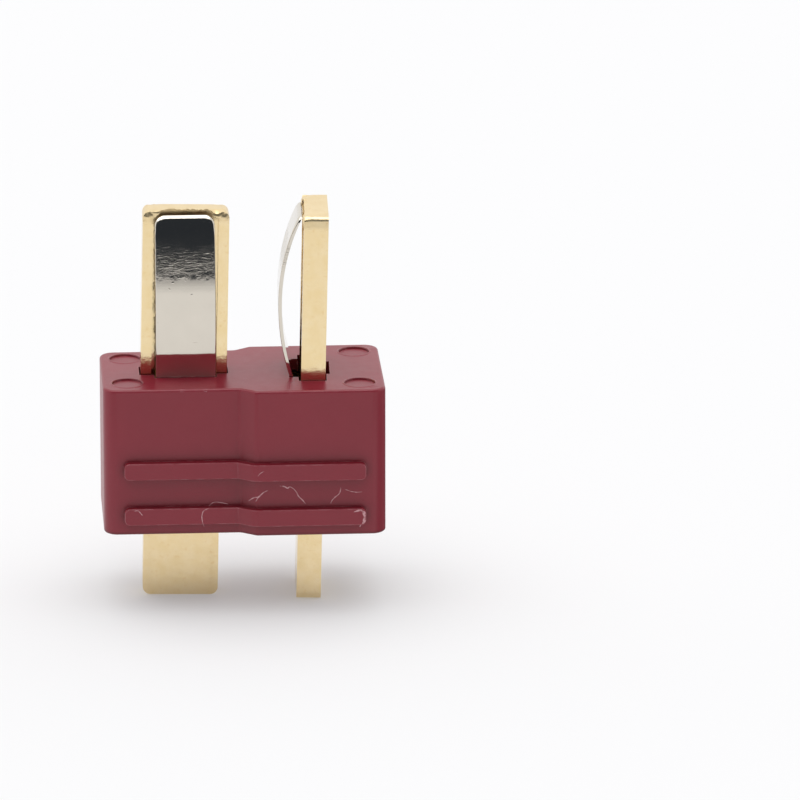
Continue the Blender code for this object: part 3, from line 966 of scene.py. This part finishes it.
def strip_blank(corner):
    """The flat blank of a leaf spring: a plate whose edges, and its ends most, are rolled over."""
    s = spring_settings()
    low, high = leaf_foot(), leaf_tip()
    middle = (low + high) / 2
    reach = high - middle
    half = s.width / 2
    # Points along the sides, clear of the corners
    parts = 60
    levels = [low + (high - low) * n / parts for n in range(5, parts - 4)]
    corners = [(-half, low, corner), (half, low, corner)]
    corners += [(half, z, 0.0) for z in levels]
    corners += [(half, high, corner), (-half, high, corner)]
    corners += [(-half, z, 0.0) for z in reversed(levels)]
    outline = round_corners(corners)
    shape = bmesh.new()
    rings = [[shape.verts.new((x, s.thickness, z)) for x, z in outline]]
    # How far from an end its greater roll fades to that of the sides
    end_reach = 1.1 * MM
    steps = 8
    for n in range(steps + 1):
        roll = math.pi / 2 * (1 - n / steps)
        inset = 1 - math.sin(roll)
        ring = []
        for x, z in outline:
            near = clamp((abs(z - middle) - reach) / end_reach + 1)
            side = s.side_roll + (s.end_roll - s.side_roll) * near
            depth = s.side_depth + (s.roll_depth - s.side_depth) * near
            level = middle + (z - middle) * (1 - s.end_roll * inset / reach)
            place = (x * (1 - side * inset / half), depth * (1 - math.cos(roll)), level)
            ring.append(shape.verts.new(place))
        rings.append(ring)
    close_rings(shape, rings)
    # Cut across, so that it can be bent
    cuts = 70
    for n in range(1, cuts):
        split_faces(shape, (0, 0, low + (high - low) * n / cuts), (0, 0, 1))
    return shape


def build_leaf(side, material):
    """One leaf spring: a blanked strip with rolled edges, bent over its crown."""
    s = spring_settings()
    face = contact_settings().thickness / 2
    shape = strip_blank(s.corner_radius if side == "left" else s.right_corner)
    lift = 0.0 if side == "left" else s.right_lift
    for vert in shape.verts:
        depth, z = vert.co.yz
        stand, slope = leaf_line(z)
        rise = max(z - s.crown, 0.0) / (leaf_tip() - s.crown)
        stand += lift * rise**2 + leaf_push(side, z)
        vert.co.y = -face - stand + depth * math.cos(slope)
        vert.co.z -= depth * math.sin(slope)
    place = bar_place(side)
    peak = Vector((0, -face - s.bow, s.crown))
    turn = Matrix.Rotation(-s.left_skew if side == "left" else 0.0, 4, "Y")
    seat = Matrix.Translation(peak) @ turn @ Matrix.Translation(-peak)
    leaf = new_object(f"{side}_spring_strip", shape, place @ seat)
    finish_surface(leaf, material)
    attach(leaf, f"{side}_leaf")
    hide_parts(f"{side}_leaf_spring")
    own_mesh(leaf)


class PLUG_OT_housing(bpy.types.Operator):
    """Builds the moulded housing with its ribs, pin marks, slots and scuffs"""

    bl_idname = "battery_plug.housing"
    bl_label = "Housing"

    def execute(self, context):
        s = housing_settings()
        housing = slab("moulded_housing", housing_outline(), BASE, TOP)
        round_edges(housing, s.edge_radius, segments=5)
        build_ribs(housing)
        press_pin_marks(housing)
        open_slots(housing)
        finish_surface(housing, moulded_nylon())
        scuffs = lay_scuffs(housing, scraped_nylon())
        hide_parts("housing")
        for piece in (housing, scuffs):
            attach(piece, "plug")
        return {"FINISHED"}


class PLUG_OT_contacts(bpy.types.Operator):
    """Builds the two gold-plated contact bars"""

    bl_idname = "battery_plug.contacts"
    bl_label = "Contact Bars"

    def execute(self, context):
        material = gold_plate()
        for side in ("left", "right"):
            build_bar(side, material)
        return {"FINISHED"}


class PLUG_OT_springs(bpy.types.Operator):
    """Builds the two leaf springs"""

    bl_idname = "battery_plug.springs"
    bl_label = "Leaf Springs"

    def execute(self, context):
        material = nickel_plate()
        for side in ("left", "right"):
            build_leaf(side, material)
        return {"FINISHED"}


class PLUG_OT_studio(bpy.types.Operator):
    """Sets up the pale floor, the soft light and the camera"""

    bl_idname = "battery_plug.studio"
    bl_label = "Studio"

    def execute(self, context):
        s = studio_settings()
        lay_floor(s)
        light_room(s)
        hang_key_light(s)
        hang_flag(s)
        lay_side_reflection(s)
        place_camera(s)
        context.scene.view_settings.view_transform = "Standard"
        return {"FINISHED"}


def lay_floor(s):
    """A wide sheet of matt opal acrylic, lit a little from beneath, so the shadow stays light."""
    shape = bmesh.new()
    bmesh.ops.create_grid(shape, x_segments=1, y_segments=1, size=3.0)
    floor = new_object("studio_floor", shape)
    values = {
        "Roughness": 0.9,
        "Base Color": (*(c * (1 - s.floor_glow) for c in s.floor_colour), 1),
        "Specular IOR Level": 0.0,
        "Emission Color": (*s.floor_colour, 1),
        "Emission Strength": s.floor_glow,
    }
    floor.data.materials.append(new_finish("opal_acrylic", values)[0])


def light_room(s):
    """A pale room, brighter behind, that the camera and the metal see as white."""
    world = bpy.data.worlds.new("studio_room")
    bpy.context.scene.world = world
    world.use_nodes = True
    tree = world.node_tree
    background = tree.nodes["Background"]
    direction = add_node(tree, "TexCoord").outputs["Generated"]
    # The plug's front gets less light from the room than its back
    bright_side = Vector((0.25, 0.97, 0.0))
    facing = add_node(tree, "VectorMath", {0: direction, 1: bright_side}, operation="DOT_PRODUCT")
    behind = add_node(
        tree,
        "MapRange",
        {"Value": facing, "From Min": -0.5, "From Max": 0.3, "To Min": 0.34, "To Max": 0.85},
        interpolation_type="SMOOTHSTEP",
    )
    path = add_node(tree, "LightPath")
    white = behind
    for ray in ("Is Camera Ray", "Is Glossy Ray", "Is Transmission Ray"):
        white = add_node(tree, "Math", {0: white, 1: path.outputs[ray]}, operation="MAXIMUM")
    tree.links.new(white.outputs["Value"], background.inputs["Color"])
    background.inputs["Strength"].default_value = s.room_strength


def hang_key_light(s):
    """One wide soft light overhead, a little in front and to the left."""
    data = bpy.data.lights.new("key_light", "SUN")
    data.energy = s.key_strength
    data.angle = math.radians(70)
    lamp = add_object("key_light", data)
    to_front, to_left = math.radians(5), math.radians(6)
    lamp.rotation_euler = (to_front, -to_left, 0)


def sector(name, middle, spread, edges):
    """A sheet that stands round the object, spread each way from its middle, which is an angle
    from the front to the right. Its edges are given as distance and height."""
    steps = 24
    shape = bmesh.new()
    rows = []
    for n in range(steps + 1):
        turn = middle + spread * (2 * n / steps - 1)
        across, ahead = math.sin(turn), -math.cos(turn)
        rows.append([shape.verts.new((across * away, ahead * away, z)) for away, z in edges])
    for row, following in zip(rows, rows[1:]):
        for a, b, c, d in zip(row, row[1:], following[1:], following):
            shape.faces.new((a, b, c, d))
    return new_object(name, shape)


def painted_dark_reflection(name, s, cover=1.0):
    """A sheet that throws nothing back and glows one flat dark grey: a painted dark reflection, for
    sheets that only the metal sees.
    """
    values = {
        "Roughness": 1.0,
        "Base Color": (*linear("#000000"), 1),
        "Specular IOR Level": 0.0,
        "Emission Color": (*s.flag_colour, 1),
        "Emission Strength": 1.0,
        "Alpha": cover,
    }
    return new_finish(name, values)


def only_in_metal(sheet, material):
    """Leaves a sheet to be seen in reflections alone."""
    sheet.data.materials.append(material)
    for kind in ("camera", "diffuse", "transmission", "shadow"):
        setattr(sheet, f"visible_{kind}", False)


def hang_flag(s):
    """A dark flag across the front and the dimmer floor before it, seen only in the metal: a
    painted dark reflection.
    """
    near = 110 * MM
    spread = math.radians(55)
    floor = [(near, SHEET_HEIGHT), (s.flag_distance, SHEET_HEIGHT)]
    edges = [*floor, (s.flag_distance, s.flag_height)]
    flag = sector("dark_flag", 0.0, spread, edges)
    material, tree, shader, place = painted_dark_reflection("flag_painted_reflection", s)
    # In the metal, the floor is painted dimmer with distance, and the flag fully dark
    away = add_node(tree, "VectorMath", {0: place}, operation="LENGTH")
    share = add_node(tree, "Math", {0: near, 1: away}, operation="DIVIDE")
    dimmed = add_node(
        tree, "MapRange", {"Value": share, "From Min": 1.0, "From Max": 0.0, "To Max": 0.5}
    )
    height = add_node(tree, "SeparateXYZ", {"Vector": place})
    upright = add_node(
        tree, "Math", {0: height.outputs["Z"], 1: 1.0 * MM}, operation="GREATER_THAN"
    )
    cover = add_node(tree, "Math", {0: dimmed, 1: upright}, operation="MAXIMUM")
    tree.links.new(cover.outputs["Value"], shader.inputs["Alpha"])
    only_in_metal(flag, material)


def lay_side_reflection(s):
    """A grey sheet on the floor to the right, seen only in the metal: a painted dark reflection
    that gives the edges on that side a dark line.
    """
    near, far = 12 * MM, 400 * MM
    middle, spread = math.radians(100), math.radians(50)
    edges = [(near, SHEET_HEIGHT), (far, SHEET_HEIGHT)]
    reflection_sheet = sector("side_painted_reflection", middle, spread, edges)
    only_in_metal(reflection_sheet, painted_dark_reflection("side_painted_reflection", s, cover=0.8)[0])


def place_camera(s):
    """The camera of the photograph: a long lens, looking down on the plug from the front."""
    pitch = math.radians(17.27)
    yaw = math.radians(3.507)
    # It looks past the plug's right side, so that the plug stands left in the picture
    aim_right, aim_height = 9.037 * MM, 11.400 * MM
    data = bpy.data.cameras.new("camera")
    data.sensor_width = 36.0
    data.lens = 405.0
    data.clip_start = 0.01
    data.clip_end = 20.0
    camera = add_object("camera", data)
    level = math.cos(pitch)
    ahead = Vector((math.sin(yaw) * level, math.cos(yaw) * level, -math.sin(pitch)))
    aim = Vector((aim_right * math.cos(yaw), -aim_right * math.sin(yaw), aim_height))
    camera.location = aim - ahead * s.distance
    camera.rotation_euler = ahead.to_track_quat("-Z", "Y").to_euler()
    bpy.context.scene.camera = camera


class PLUG_PT_panel(bpy.types.Panel):
    """The plug's pieces, with the sizes and colours of each"""

    bl_label = "Battery Plug"
    bl_space_type = "VIEW_3D"
    bl_region_type = "UI"
    bl_category = "Battery Plug"

    def draw(self, context):
        scene = context.scene
        groups = (
            (PLUG_OT_housing, scene.plug_housing),
            (PLUG_OT_contacts, scene.plug_contacts),
            (PLUG_OT_springs, scene.plug_springs),
            (PLUG_OT_studio, scene.plug_studio),
        )
        for operator, settings in groups:
            box = self.layout.box()
            box.operator(operator.bl_idname)
            for name in settings.bl_rna.properties.keys():
                if name not in ("rna_type", "name"):
                    box.prop(settings, name)


CLASSES = (
    HousingSettings,
    ContactSettings,
    SpringSettings,
    StudioSettings,
    PLUG_OT_housing,
    PLUG_OT_contacts,
    PLUG_OT_springs,
    PLUG_OT_studio,
    PLUG_PT_panel,
)
SETTINGS = {
    "plug_housing": HousingSettings,
    "plug_contacts": ContactSettings,
    "plug_springs": SpringSettings,
    "plug_studio": StudioSettings,
}


def register():
    for item in CLASSES:
        bpy.utils.register_class(item)
    for name, group in SETTINGS.items():
        setattr(bpy.types.Scene, name, PointerProperty(type=group))


def unregister():
    for name in SETTINGS:
        delattr(bpy.types.Scene, name)
    for item in reversed(CLASSES):
        bpy.utils.unregister_class(item)


def main():
    register()
    bpy.ops.battery_plug.housing()
    bpy.ops.battery_plug.contacts()
    bpy.ops.battery_plug.springs()
    bpy.ops.battery_plug.studio()


if __name__ == "__main__":
    main()
